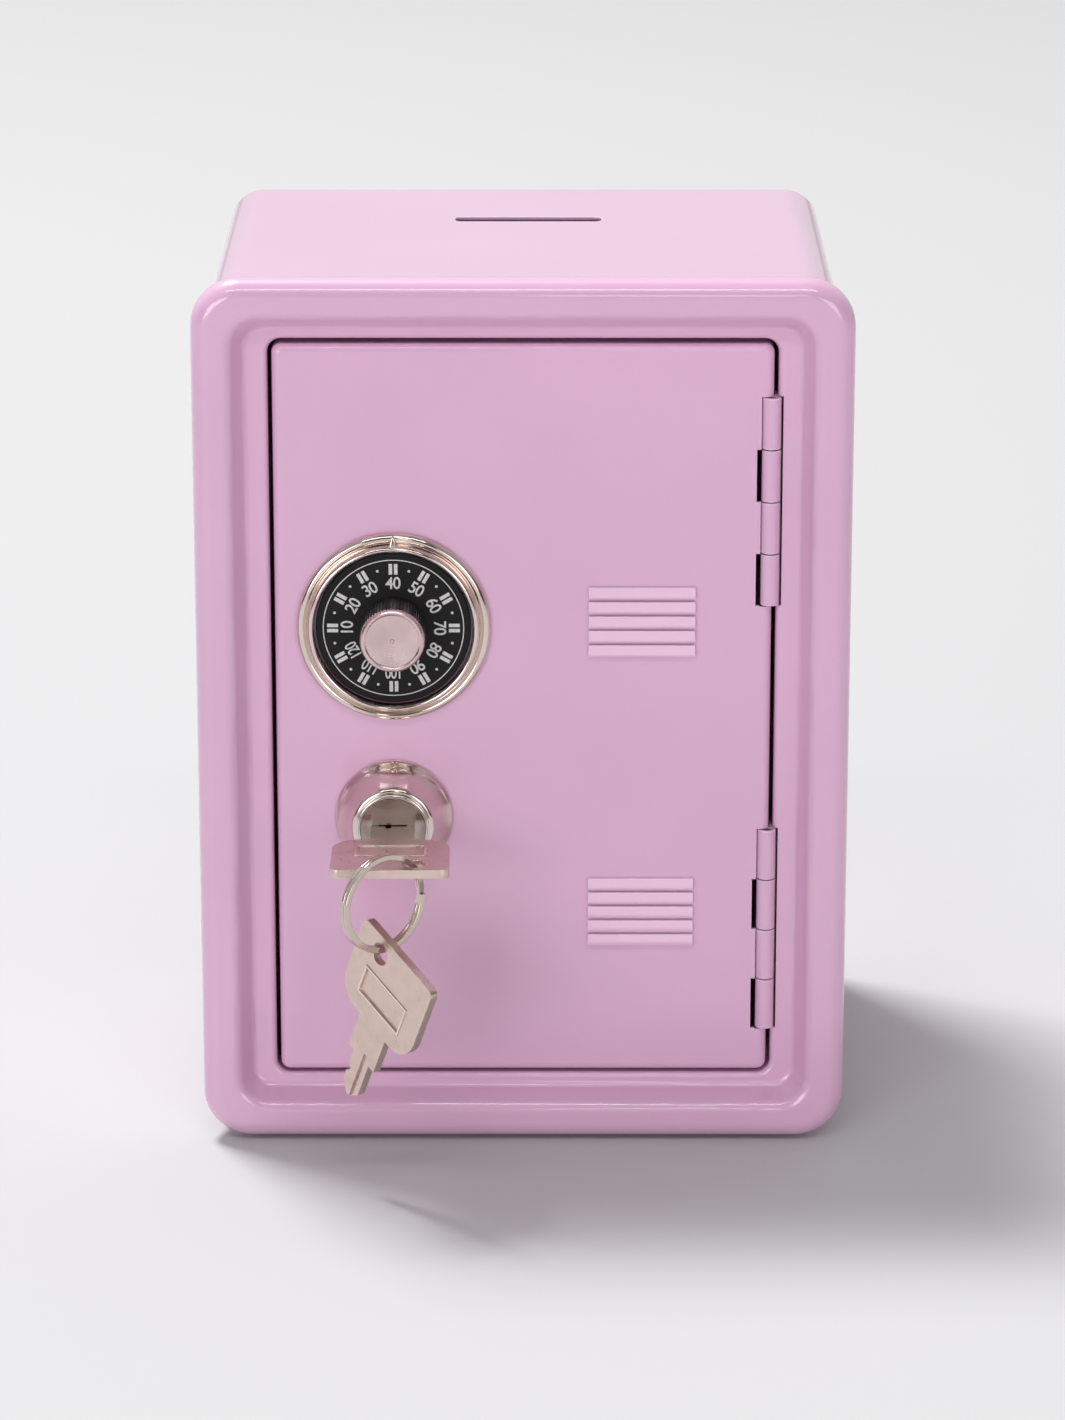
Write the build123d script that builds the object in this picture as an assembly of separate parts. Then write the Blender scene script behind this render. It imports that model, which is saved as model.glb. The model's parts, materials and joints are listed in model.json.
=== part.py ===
from build123d import *
import math
import os

# Toy safe coin bank: a painted sheet-steel case with a hinged door, a turning dial
# and a cam lock whose key carries a split ring with a spare key. Millimetres, +Z up.
# The origin is on the ground under the middle of the case, and the door faces -Y.

# ---- Driving dimensions ------------------------------------------------------------
CASE_WIDTH = 125.0
CASE_DEPTH = 100.0
CASE_HEIGHT = 172.0
SHEET = 0.8                      # thickness of every painted steel sheet

# Case
RIM_GROUND_GAP = 0.6             # daylight under the front rim, above the feet
RIM_CORNER = 9.5                 # corner radius of the rim, seen from the front
RIM_FRONT_ROUND = 3.6            # rounding between the rim's side and its front
RIM_LENGTH = 4.5                 # full-width part of the rim, front to back
NECK_LENGTH = 4.5                # taper from the rim down to the neck
NECK_INSET = 1.7                 # how far the neck stands inside the rim
NECK_BLEND = 4.0                 # blend radius at both ends of the taper
SKIRT_END = 11.0                 # where the frame stops, behind its front plane
RECESS_MOUTH_INSET = 7.2         # rim edge to the mouth of the door recess
RECESS_FLOOR_INSET = 9.7         # rim edge to the floor of the door recess
RECESS_DEPTH = 5.0
RECESS_LIP_ROUND = 2.6
RECESS_FLOOR_ROUND = 1.6
JAMB_ROUND = 1.1                 # floor of the recess to the door jamb
BACK_RECESS = 1.4                # back panel inside the end of the wrap
BACK_FLANGE = 6.6
BACK_ROUND = 1.6
COIN_SLOT_LENGTH = 29.0
COIN_SLOT_WIDTH = 4.3
COIN_SLOT_X = 0.9
COIN_SLOT_Y = 20.0
COIN_SLOT_ROUND = 1.4
FOOT_RADIUS = 6.0
FOOT_PLACES = {"left": -44.0, "right": 44.0}
FOOT_ROWS = {"front": -30.0, "rear": 38.0}

# Door
DOOR_WIDTH = 94.8
DOOR_HEIGHT = 145.4
DOOR_GAP = 0.8                   # around the door, in the frame's opening
DOOR_PROUD = 0.8                 # door face in front of the recess floor
DOOR_RETURN = 5.3                # depth of the folded edge
DOOR_FOLD = 1.5
DOOR_CORNER = 1.8

# Louvres pressed out of the door
LOUVRE_LENGTH = 20.4
LOUVRE_PITCH = 2.85
LOUVRE_COUNT = 5
LOUVRE_PROUD = 1.0
LOUVRE_SLAT = 2.35               # height of one slat, lip to lip
LOUVRE_X = 22.7
LOUVRE_CENTRES = (104.8, 46.4)

# Hinges
HINGE_X = 47.0
KNUCKLE_RADIUS = 1.8
KNUCKLE_PITCH = 10.2
KNUCKLE_GAP = 0.2
KNUCKLES = 4
PIN_RADIUS = 1.0
PIN_CLEARANCE = 0.06
LEAF = 0.6                       # thickness of the hinge leaves
LEAF_WIDTH = 10.0
HINGE_TOPS = {"upper": 148.7, "lower": 63.1}

# Dial
DIAL_X, DIAL_Z = -24.7, 104.0
BEZEL_RADIUS = 18.5
DISC_RADIUS = 14.8
DISC_CLEARANCE = 0.3
DISC_THICKNESS = 1.2
KNOB_RADIUS = 6.2
KNOB_LENGTH = 9.6
KNOB_FLUTES = 30
SHAFT_RADIUS = 2.0
SHAFT_CLEARANCE = 0.08

# Cam lock
LOCK_X, LOCK_Z = -24.9, 65.9
ESCUTCHEON_RADIUS = 11.4
LOCK_PROUD = 9.0                 # front of the lock, in front of the door face
LOCK_HEAD_RADIUS = 7.0
LOCK_HEAD_LENGTH = 1.2
LOCK_BARREL_RADIUS = 6.6
LOCK_HOLE_CLEARANCE = 0.1
PLUG_RADIUS = 5.2
PLUG_HEAD_RADIUS = 6.2
PLUG_CLEARANCE = 0.06
CAM_THICKNESS = 1.5
CAM_LENGTH = 26.5
CAM_WIDTH = 11.0
CAM_CLEARANCE = 0.3              # cam behind the edge of the door jamb
TAIL_HALF = 2.5                  # half of the square tail that drives the cam
SCREW_RADIUS = 1.5

# Keys
KEY_THICKNESS = 1.7
BOW_WIDTH = 22.4
BOW_LENGTH = 18.5
SHANK_WIDTH = 8.4
SHANK_LENGTH = 8.0
BLADE_WIDTH = 5.0
BLADE_LENGTH = 9.5
KEY_HOLE_RADIUS = 2.2
KEY_HOLE_X = 4.4                 # hole, off the key's centre line
KEY_HOLE_Y = 3.6                 # hole, behind the bow's outer edge
KEYWAY_WIDTH = 5.5
KEYWAY_HEIGHT = 2.1
RING_RADIUS = 8.95               # split ring, to the middle of its wire
RING_WIRE = 1.2                  # wire across the ring
RING_DEPTH = 1.8                 # both turns of wire together
RING_YAW = 40.0                  # ring plane, turned from the width of the case
RING_SLANT = 36.0                # where the key's hole sits, above the ring's middle

# ---- Places worked out from them ---------------------------------------------------
FRONT = -CASE_DEPTH / 2
BACK = CASE_DEPTH / 2
RIM_MIDDLE_Z = (RIM_GROUND_GAP + CASE_HEIGHT) / 2
RIM_HEIGHT = CASE_HEIGHT - RIM_GROUND_GAP
FLOOR_Y = FRONT + RECESS_DEPTH
DOOR_Y = FLOOR_Y - DOOR_PROUD
DOOR_INNER_Y = DOOR_Y + SHEET
SKIRT_Y = FRONT + SKIRT_END
WRAP_INSET = NECK_INSET + SHEET
WRAP_CORNER = RIM_CORNER - WRAP_INSET
CAM_Y = SKIRT_Y + CAM_CLEARANCE
LOCK_FACE_Y = DOOR_Y - LOCK_PROUD
PLUG_FACE_Y = LOCK_FACE_Y + 0.1
BOW_REAR_Y = LOCK_FACE_Y - 0.1 - SHANK_LENGTH
BOW_FRONT_Y = BOW_REAR_Y - BOW_LENGTH

os.makedirs("parts", exist_ok=True)


def write(name, shape):
    """Write one piece of the safe to its own file."""
    export_step(shape, f"parts/{name}.step")


def upright(y):
    """Sketch plane facing the front at depth y: local x is +X and local y is +Z."""
    return Plane(origin=(0, y, 0), x_dir=(1, 0, 0), z_dir=(0, -1, 0))


def panel(y, inset, corner, width=CASE_WIDTH, height=RIM_HEIGHT, middle=RIM_MIDDLE_Z):
    """Rounded rectangle facing the front at depth y, inset all round."""
    outline = RectangleRounded(width - 2 * inset, height - 2 * inset, corner)
    return upright(y) * Pos(0, middle) * outline


def slab(y_front, y_back, inset, corner, **size):
    """Rounded block between two depths."""
    return extrude(panel(y_back, inset, corner, **size), y_back - y_front)


def box(x, y, z):
    """Plain block from three (low, high) pairs."""
    middle = [(low + high) / 2 for low, high in (x, y, z)]
    return Pos(*middle) * Box(x[1] - x[0], y[1] - y[0], z[1] - z[0])


def rod(x, z, radius, y_front, y_back):
    """Cylinder lying front to back."""
    return extrude(upright(y_back) * Pos(x, z) * Circle(radius), y_back - y_front)


def post(x, y, radius, z_low, z_high):
    """Upright cylinder."""
    return Pos(x, y, (z_low + z_high) / 2) * Cylinder(radius, z_high - z_low)


def hexagon(x, z, across_flats, y_front, y_back):
    """Hexagonal nut blank lying front to back."""
    outline = RegularPolygon(across_flats / 2, 6, major_radius=False)
    return extrude(upright(y_back) * Pos(x, z) * outline, y_back - y_front)


def edges_at(shape, y):
    """Edges that lie wholly at one depth."""
    return [e for e in shape.edges() if all(abs(v.Y - y) < 1e-4 for v in e.vertices())
            and abs(e.center().Y - y) < 1e-3]


# ---- Case --------------------------------------------------------------------------
def frame_form(skin):
    """Drawn front frame as a solid block, moved in by skin so two make a sheet."""
    rim_back = FRONT + RIM_LENGTH
    neck_front = rim_back + NECK_LENGTH
    rim = slab(FRONT + skin, rim_back, skin, RIM_CORNER - skin)
    neck_corner = RIM_CORNER - NECK_INSET
    taper = loft([panel(rim_back, skin, RIM_CORNER - skin),
                  panel(neck_front, NECK_INSET + skin, neck_corner - skin)], ruled=True)
    end = SKIRT_Y + 2 * skin
    neck = slab(neck_front, end, NECK_INSET + skin, neck_corner - skin)
    form = rim + taper + neck
    form = fillet(edges_at(form, FRONT + skin), RIM_FRONT_ROUND - skin)
    form = fillet(edges_at(form, rim_back), NECK_BLEND)
    form = fillet(edges_at(form, neck_front), NECK_BLEND)

    floor = FLOOR_Y + skin
    mouth_corner = RIM_CORNER - 4.0
    recess = loft([panel(FRONT, RECESS_MOUTH_INSET - skin, mouth_corner + skin),
                   panel(floor, RECESS_FLOOR_INSET - skin, mouth_corner - 1.5 + skin)],
                  ruled=True)
    recess = fillet(edges_at(recess, floor), RECESS_FLOOR_ROUND + skin)
    form -= recess
    form = fillet(edges_at(form, FRONT + skin), RECESS_LIP_ROUND - skin)

    opening = slab(FRONT - 1, end + 1, -DOOR_GAP - skin, DOOR_CORNER + DOOR_GAP + skin,
                   width=DOOR_WIDTH, height=DOOR_HEIGHT)
    form -= opening
    return fillet(edges_at(form, floor)[-8:], JAMB_ROUND - skin)



def hinge_slots(x_low, x_high, y_low, y_high):
    """Clearance for the hinge barrels, one box at each hinge."""
    length = KNUCKLES * KNUCKLE_PITCH
    return [box((x_low, x_high), (y_low, y_high), (top - length - 0.1, top + 0.1))
            for top in HINGE_TOPS.values()]


def front_frame():
    """Deep-drawn frame: rolled rim, recess for the door and a door jamb behind it."""
    frame = frame_form(0) - frame_form(SHEET)
    jamb_x = DOOR_WIDTH / 2 + DOOR_GAP
    for slot in hinge_slots(jamb_x - 1, jamb_x + 1.0, FLOOR_Y - 0.5, FLOOR_Y + 2.1):
        frame -= slot
    return frame


def body_wrap():
    """Top, bottom and sides in one bent sheet, with the coin slot in its top."""
    outer = slab(FLOOR_Y, BACK, WRAP_INSET, WRAP_CORNER)
    inner = slab(FLOOR_Y - 1, BACK + 1, WRAP_INSET + SHEET, WRAP_CORNER - SHEET)
    slot = RectangleRounded(COIN_SLOT_LENGTH, COIN_SLOT_WIDTH, COIN_SLOT_ROUND)
    top = Plane.XY.offset(CASE_HEIGHT - WRAP_INSET - 2)
    return outer - inner - extrude(top * Pos(COIN_SLOT_X, COIN_SLOT_Y) * slot, 4)


def back_form(skin):
    """Back panel as a solid block, moved in by skin."""
    inset = WRAP_INSET + SHEET + skin
    face = BACK - BACK_RECESS - skin
    block = slab(BACK - BACK_RECESS - BACK_FLANGE - skin, face, inset,
                 WRAP_CORNER - SHEET - skin)
    return fillet(edges_at(block, face), BACK_ROUND - skin)


def foot(x, y):
    """Rubber bumper stuck under the wrap, turned with a small chamfer."""
    height = RIM_GROUND_GAP + WRAP_INSET
    bumper = post(x, y, FOOT_RADIUS, 0, height)
    return chamfer(bumper.edges().sort_by(Axis.Z)[0], 0.6)


write("front_frame", front_frame())
write("body_wrap", body_wrap())
write("back_panel", back_form(0) - back_form(SHEET))
for row, foot_y in FOOT_ROWS.items():
    for side, foot_x in FOOT_PLACES.items():
        write(f"foot_{row}_{side}", foot(foot_x, foot_y))


# ---- Hinges ------------------------------------------------------------------------
def knuckle_span(top, index):
    """Lowest and highest point of one knuckle, counted from the top."""
    high = top - index * KNUCKLE_PITCH
    return high - KNUCKLE_PITCH + KNUCKLE_GAP, high


def hinge_leaf(top, indices, plate, tongues, bore):
    """Leaf of a butt hinge: a plate, a tongue to each of its knuckles, and a bore."""
    leaf = box(plate[0], plate[1], (top - KNUCKLES * KNUCKLE_PITCH + KNUCKLE_GAP, top))
    for index in indices:
        span = knuckle_span(top, index)
        leaf += post(HINGE_X, FLOOR_Y, KNUCKLE_RADIUS, *span)
        leaf += box(tongues[0], tongues[1], span)
    return leaf - post(HINGE_X, FLOOR_Y, bore, top - 60, top + 1)


for level, top in HINGE_TOPS.items():
    jamb = DOOR_WIDTH / 2 + DOOR_GAP
    door_plate = ((HINGE_X - 2.7 - LEAF_WIDTH, HINGE_X - 2.7), (DOOR_INNER_Y, DOOR_INNER_Y + LEAF))
    door_tongue = ((HINGE_X - 2.7, HINGE_X - 1.3), (DOOR_INNER_Y, DOOR_INNER_Y + LEAF))
    case_plate = ((jamb - LEAF, jamb), (FLOOR_Y + 2.2, SKIRT_Y - 0.3))
    case_tongue = ((jamb - LEAF, jamb), (FLOOR_Y + 0.9, FLOOR_Y + 2.2))
    write(f"{level}_hinge_door_leaf",
          hinge_leaf(top, (0, 2), door_plate, door_tongue, PIN_RADIUS))
    write(f"{level}_hinge_frame_leaf",
          hinge_leaf(top, (1, 3), case_plate, case_tongue, PIN_RADIUS + PIN_CLEARANCE))
    pin_low = top - KNUCKLES * KNUCKLE_PITCH + KNUCKLE_GAP
    write(f"{level}_hinge_pin", post(HINGE_X, FLOOR_Y, PIN_RADIUS, pin_low, top - 0.3))


# ---- Door --------------------------------------------------------------------------
def door_form(skin):
    """Door pan as a solid block, moved in by skin."""
    block = slab(DOOR_Y + skin, DOOR_Y + DOOR_RETURN + skin, skin, DOOR_CORNER - skin,
                 width=DOOR_WIDTH, height=DOOR_HEIGHT)
    return fillet(edges_at(block, DOOR_Y + skin), DOOR_FOLD - skin)


def louvre(top, deepen):
    """One louvre: a slope out from the door that drops back at its lower edge."""
    foot = top - LOUVRE_SLAT
    outline = [(DOOR_Y, top), (DOOR_Y - LOUVRE_PROUD / 2, top - 0.3),
               (DOOR_Y - LOUVRE_PROUD, foot + 0.3), (DOOR_Y - LOUVRE_PROUD, foot),
               (DOOR_Y, foot)]
    if deepen:
        outline = [(DOOR_INNER_Y + 0.1, top - 0.6), (DOOR_Y, top - 0.75),
                   (DOOR_Y - LOUVRE_PROUD + 0.55, foot + 0.4),
                   (DOOR_Y - LOUVRE_PROUD + 0.55, foot - 0.1),
                   (DOOR_INNER_Y + 0.1, foot - 0.1)]
    length = LOUVRE_LENGTH - (1.2 if deepen else 0)
    face = Plane.YZ.offset(LOUVRE_X - length / 2) * make_face(Polyline(*outline, close=True))
    return extrude(face, length)


def door_panel():
    """Pressed pan with folded edges, ten louvres, two bores and the hinge slots."""
    door = door_form(0) - door_form(SHEET)
    for middle in LOUVRE_CENTRES:
        for index in range(LOUVRE_COUNT):
            top = middle + LOUVRE_PITCH * (LOUVRE_COUNT / 2 - index)
            door = door + louvre(top, False) - louvre(top, True)
    for slot in hinge_slots(HINGE_X - 1.9, HINGE_X + 2, DOOR_Y - 1, FLOOR_Y + 2.1):
        door -= slot
    for top in HINGE_TOPS.values():
        for index in (1, 3):
            low, high = knuckle_span(top, index)
            door -= box((HINGE_X - 2.7, HINGE_X), (DOOR_Y - 1, FLOOR_Y + 1.9),
                        (low - 0.1, high + 0.1))
    door -= rod(DIAL_X, DIAL_Z, SHAFT_RADIUS + SHAFT_CLEARANCE, DOOR_Y - 1, FLOOR_Y + 1)
    lock_hole = LOCK_BARREL_RADIUS + LOCK_HOLE_CLEARANCE
    return door - rod(LOCK_X, LOCK_Z, lock_hole, DOOR_Y - 1, FLOOR_Y + 1)


write("door_panel", door_panel())


# ---- Dial --------------------------------------------------------------------------
def turned(points, x, z):
    """Ring or disc turned about an axis out of the door, from (radius, height) points."""
    outline = make_face(Polyline(*[(radius, height, 0) for radius, height in points],
                                 close=True))
    whole = revolve(outline, Axis.Y)
    return Pos(x, DOOR_Y, z) * Rot(X=180) * whole


bezel_steps = [(DISC_RADIUS + DISC_CLEARANCE, 0), (BEZEL_RADIUS, 0), (BEZEL_RADIUS, 0.8),
               (BEZEL_RADIUS - 0.5, 1.4), (BEZEL_RADIUS - 1.3, 1.6),
               (BEZEL_RADIUS - 1.6, 2.6), (BEZEL_RADIUS - 2.1, 3.1),
               (BEZEL_RADIUS - 2.7, 3.1), (DISC_RADIUS + DISC_CLEARANCE, 2.2)]
write("dial_bezel", turned(bezel_steps, DIAL_X, DIAL_Z))

disc_back = DOOR_Y - DISC_CLEARANCE
disc_front = disc_back - DISC_THICKNESS
disc = rod(DIAL_X, DIAL_Z, DISC_RADIUS, disc_front, disc_back)
write("dial_disc", disc - rod(DIAL_X, DIAL_Z, SHAFT_RADIUS, disc_front - 1, disc_back + 1))

knob_front = disc_front - KNOB_LENGTH
knob = rod(DIAL_X, DIAL_Z, KNOB_RADIUS, knob_front, disc_front)
knob = chamfer(edges_at(knob, knob_front), 0.7)
for step in range(KNOB_FLUTES):
    angle = 2 * math.pi * step / KNOB_FLUTES
    knob -= rod(DIAL_X + (KNOB_RADIUS + 0.2) * math.cos(angle),
                DIAL_Z + (KNOB_RADIUS + 0.2) * math.sin(angle),
                0.5, knob_front + 1.0, disc_front - 1.0)
knob -= rod(DIAL_X, DIAL_Z, SHAFT_RADIUS, disc_front - 6, disc_front + 1)
write("dial_knob", knob)

shaft_end = DOOR_INNER_Y + 4.2
shaft = rod(DIAL_X, DIAL_Z, SHAFT_RADIUS, disc_front - 6, shaft_end)
write("dial_shaft", shaft + rod(DIAL_X, DIAL_Z, 4.0, disc_back, DOOR_Y))
washer_end = DOOR_INNER_Y + 0.5
for name, blank in {
    "dial_spring_washer": rod(DIAL_X, DIAL_Z, 4.6, DOOR_INNER_Y, washer_end),
    "dial_nut": hexagon(DIAL_X, DIAL_Z, 7.0, washer_end, washer_end + 2.4),
}.items():
    write(name, blank - rod(DIAL_X, DIAL_Z, SHAFT_RADIUS, DOOR_INNER_Y - 1, shaft_end + 1))


# ---- Cam lock ----------------------------------------------------------------------
head_back = LOCK_FACE_Y + LOCK_HEAD_LENGTH
cone_height = LOCK_PROUD - LOCK_HEAD_LENGTH
cone = [(LOCK_BARREL_RADIUS, 0), (ESCUTCHEON_RADIUS, 0), (ESCUTCHEON_RADIUS - 0.1, 0.7),
        (8.6, 4.6), (7.6, cone_height), (LOCK_BARREL_RADIUS, cone_height)]
write("lock_escutcheon", turned(cone, LOCK_X, LOCK_Z))

housing_end = CAM_Y - 0.4
housing = rod(LOCK_X, LOCK_Z, LOCK_BARREL_RADIUS, head_back, housing_end)
housing += rod(LOCK_X, LOCK_Z, LOCK_HEAD_RADIUS, LOCK_FACE_Y, head_back)
housing -= rod(LOCK_X, LOCK_Z, PLUG_RADIUS + PLUG_CLEARANCE, LOCK_FACE_Y - 1, housing_end + 1)
housing -= rod(LOCK_X, LOCK_Z, PLUG_HEAD_RADIUS + PLUG_CLEARANCE, LOCK_FACE_Y - 1, head_back)
write("lock_housing", housing)

nut = hexagon(LOCK_X, LOCK_Z, 17.0, DOOR_INNER_Y, DOOR_INNER_Y + 3.0)
write("lock_nut", nut - rod(LOCK_X, LOCK_Z, LOCK_BARREL_RADIUS, DOOR_INNER_Y - 1, FLOOR_Y + 5))

WAFER_THICKNESS = 0.6
WAFER_DEPTHS = (-52.4, -50.6, -48.8)


def wafer_blank(y, grow):
    """One wafer, or its slot in the plug when grown."""
    half_x = 6.0 if grow else 4.3
    return box((LOCK_X - half_x, LOCK_X + half_x), (y - grow, y + WAFER_THICKNESS + grow),
               (LOCK_Z - 2.2 - grow, LOCK_Z + 2.2 + grow))


cam_back = CAM_Y + CAM_THICKNESS
plug = rod(LOCK_X, LOCK_Z, PLUG_RADIUS, PLUG_FACE_Y, CAM_Y)
plug += rod(LOCK_X, LOCK_Z, PLUG_HEAD_RADIUS, PLUG_FACE_Y, head_back)
tail = ((LOCK_X - TAIL_HALF, LOCK_X + TAIL_HALF), (CAM_Y, cam_back),
        (LOCK_Z - TAIL_HALF, LOCK_Z + TAIL_HALF))
plug += box(*tail)
plug -= box((LOCK_X - KEYWAY_WIDTH / 2, LOCK_X + KEYWAY_WIDTH / 2),
            (PLUG_FACE_Y - 1, BOW_REAR_Y + SHANK_LENGTH + BLADE_LENGTH + 0.6),
            (LOCK_Z - KEYWAY_HEIGHT / 2, LOCK_Z + KEYWAY_HEIGHT / 2))
screw_depth = CAM_Y - 3.6
plug -= rod(LOCK_X, LOCK_Z, SCREW_RADIUS, screw_depth, cam_back + 1)
wafers = None
for depth in WAFER_DEPTHS:
    plug -= wafer_blank(depth, 0.1)
    window = box((LOCK_X - 3.3, LOCK_X + 3.3), (depth - 1, depth + 2),
                 (LOCK_Z - 1.3, LOCK_Z + 1.3))
    wafer = wafer_blank(depth, 0) - window
    wafers = wafer if wafers is None else wafers + wafer
write("lock_plug", plug)
write("lock_wafers", wafers)

cam_arm = SlotCenterToCenter(CAM_LENGTH - CAM_WIDTH / 2, CAM_WIDTH)
cam_middle = (CAM_LENGTH - CAM_WIDTH / 2) / 2
cam = extrude(upright(cam_back) * Pos(LOCK_X, LOCK_Z + cam_middle) * Rot(Z=90) * cam_arm,
              CAM_THICKNESS)
write("lock_cam", cam - box(*tail))
cam_washer = rod(LOCK_X, LOCK_Z, 4.5, cam_back, cam_back + 0.6)
write("cam_washer", cam_washer - rod(LOCK_X, LOCK_Z, SCREW_RADIUS, cam_back - 1, cam_back + 2))
screw = rod(LOCK_X, LOCK_Z, SCREW_RADIUS, screw_depth, cam_back + 0.6)
screw_head = rod(LOCK_X, LOCK_Z, 3.2, cam_back + 0.6, cam_back + 2.8)
slot = box((LOCK_X - 4, LOCK_X + 4), (cam_back + 1.9, cam_back + 3),
           (LOCK_Z - 0.45, LOCK_Z + 0.45))
write("cam_screw", screw + screw_head - slot)


# ---- Keys --------------------------------------------------------------------------
def flat_key():
    """Key lying flat: bow edge on y = 0, blade along +y, middle of its thickness on z = 0."""
    length = BOW_LENGTH + SHANK_LENGTH + BLADE_LENGTH
    bow = Rectangle(BOW_WIDTH, BOW_LENGTH, align=(Align.CENTER, Align.MIN))
    corners = bow.vertices().sort_by(Axis.Y)
    bow = fillet(corners[2:], 5.5)
    bow = fillet(bow.vertices().sort_by(Axis.Y)[:2], 1.6)
    shank = Pos(0, BOW_LENGTH - 1) * Rectangle(
        SHANK_WIDTH, SHANK_LENGTH + 1, align=(Align.CENTER, Align.MIN))
    half = BLADE_WIDTH / 2
    start = BOW_LENGTH + SHANK_LENGTH - 1
    blade = make_face(Polyline(
        (-half, start), (half, start), (half, length - 6.2), (half - 1.1, length - 5.2),
        (half, length - 4.2), (half, length - 2.6), (0.6, length), (-0.6, length),
        (-half, length - 2.0), close=True))
    outline = bow + shank + blade
    outline -= Pos(KEY_HOLE_X, KEY_HOLE_Y) * Circle(KEY_HOLE_RADIUS)
    key = extrude(Plane.XY.offset(-KEY_THICKNESS / 2) * outline, KEY_THICKNESS)
    recess = Pos(0, BOW_LENGTH * 0.62) * RectangleRounded(12.5, 5.6, 0.6)
    for face in (KEY_THICKNESS / 2 - 0.25, -KEY_THICKNESS / 2):
        key -= extrude(Plane.XY.offset(face) * recess, 0.25)
    groove = box((-1.3, -0.4), (BOW_LENGTH + SHANK_LENGTH - 1.5, length + 1),
                 (KEY_THICKNESS / 2 - 0.5, KEY_THICKNESS))
    return key - groove


key = flat_key()
write("lock_key", Pos(LOCK_X, BOW_FRONT_Y, LOCK_Z) * key)

yaw, slant = math.radians(RING_YAW), math.radians(RING_SLANT)
ring_way = Vector(-math.cos(yaw), -math.sin(yaw), 0)
ring_axis = Vector(-math.sin(yaw), math.cos(yaw), 0)
key_hole = Vector(LOCK_X + KEY_HOLE_X, BOW_FRONT_Y + KEY_HOLE_Y, LOCK_Z)
ring_middle = (key_hole + ring_way * (RING_RADIUS * math.cos(slant))
               - Vector(0, 0, RING_RADIUS * math.sin(slant)))
ring_plane = Plane(origin=ring_middle, x_dir=ring_way, z_dir=ring_axis)
ring_section = Circle(RING_RADIUS + RING_WIRE / 2) - Circle(RING_RADIUS - RING_WIRE / 2)
key_ring = extrude(ring_plane.offset(-RING_DEPTH / 2) * ring_section, RING_DEPTH)
write("key_ring", key_ring)

# The spare key hangs with its centre of mass straight under its hole.
WIRE_REST = 0.95                 # key hole's middle, below the middle of the wire
mass = key.center(CenterOf.MASS)
hang = math.atan2(KEY_HOLE_X - mass.X, mass.Y - KEY_HOLE_Y)
spare_hole = ring_middle - Vector(0, 0, RING_RADIUS + WIRE_REST)
inward = Vector(-math.sin(yaw), math.cos(yaw), 0)
along_edge = inward * math.cos(hang) + Vector(0, 0, math.sin(hang))
spare_plane = Plane(origin=spare_hole, x_dir=along_edge, z_dir=ring_way)
spare = spare_plane * Pos(-KEY_HOLE_X, -KEY_HOLE_Y) * key
write("spare_key", spare)
print("ring turns at", key_hole, "about", ring_axis)
print("spare key swings at", ring_middle - Vector(0, 0, RING_RADIUS), "about", ring_way)
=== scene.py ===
import json
import math
import bmesh
import bpy
from mathutils import Matrix, Vector


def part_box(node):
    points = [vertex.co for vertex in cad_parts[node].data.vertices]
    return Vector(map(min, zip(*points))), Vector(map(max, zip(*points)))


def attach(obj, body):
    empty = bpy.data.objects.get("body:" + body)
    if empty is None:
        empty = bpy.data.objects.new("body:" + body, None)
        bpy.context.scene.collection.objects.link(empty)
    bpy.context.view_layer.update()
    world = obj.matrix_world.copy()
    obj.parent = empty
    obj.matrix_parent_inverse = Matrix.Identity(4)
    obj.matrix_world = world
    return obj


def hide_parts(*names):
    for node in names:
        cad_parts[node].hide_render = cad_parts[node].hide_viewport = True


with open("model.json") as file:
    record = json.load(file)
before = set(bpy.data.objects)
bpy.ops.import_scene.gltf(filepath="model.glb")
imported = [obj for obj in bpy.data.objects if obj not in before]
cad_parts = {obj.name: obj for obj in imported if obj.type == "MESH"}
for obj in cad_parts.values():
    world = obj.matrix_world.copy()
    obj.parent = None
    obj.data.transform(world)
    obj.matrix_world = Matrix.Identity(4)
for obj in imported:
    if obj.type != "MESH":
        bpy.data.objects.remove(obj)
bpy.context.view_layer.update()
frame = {"nodes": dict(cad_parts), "record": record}

# ---- Studio ----------------------------------------------------------------------------------
# A pale paper floor under soft light: a key nearly overhead from behind the left shoulder of the
# safe, which throws the shadow forward and to the right, a strip that draws the line along the
# top edge, a weak one for the louvres, and a broad fill on each side of the camera. The air has a
# dark band near the horizon and two dark flags in front, so that plated metal has an outline.


def srgb(code):
    """Linear colour from an sRGB hex code."""
    parts = [int(code[i:i + 2], 16) / 255 for i in (0, 2, 4)]
    return [p / 12.92 if p <= 0.04045 else ((p + 0.055) / 1.055) ** 2.4 for p in parts] + [1.0]


def add_node(tree, kind, settings=None, links=None):
    """Adds a shader node, gives its sockets and properties their values, and links its inputs."""
    node = tree.nodes.new(kind)
    for key, value in (settings or {}).items():
        if isinstance(key, int) or key in node.inputs:
            node.inputs[key].default_value = value
        else:
            setattr(node, key, value)
    for key, source in (links or {}).items():
        tree.links.new(source, node.inputs[key])
    return node


def colour_steps(node, stops):
    """Gives a colour ramp its (position, colour) stops."""
    ramp = node.color_ramp
    while len(ramp.elements) < len(stops):
        ramp.elements.new(0.5)
    for element, (position, colour) in zip(ramp.elements, stops):
        element.position = position
        element.color = colour
    return node


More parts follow.
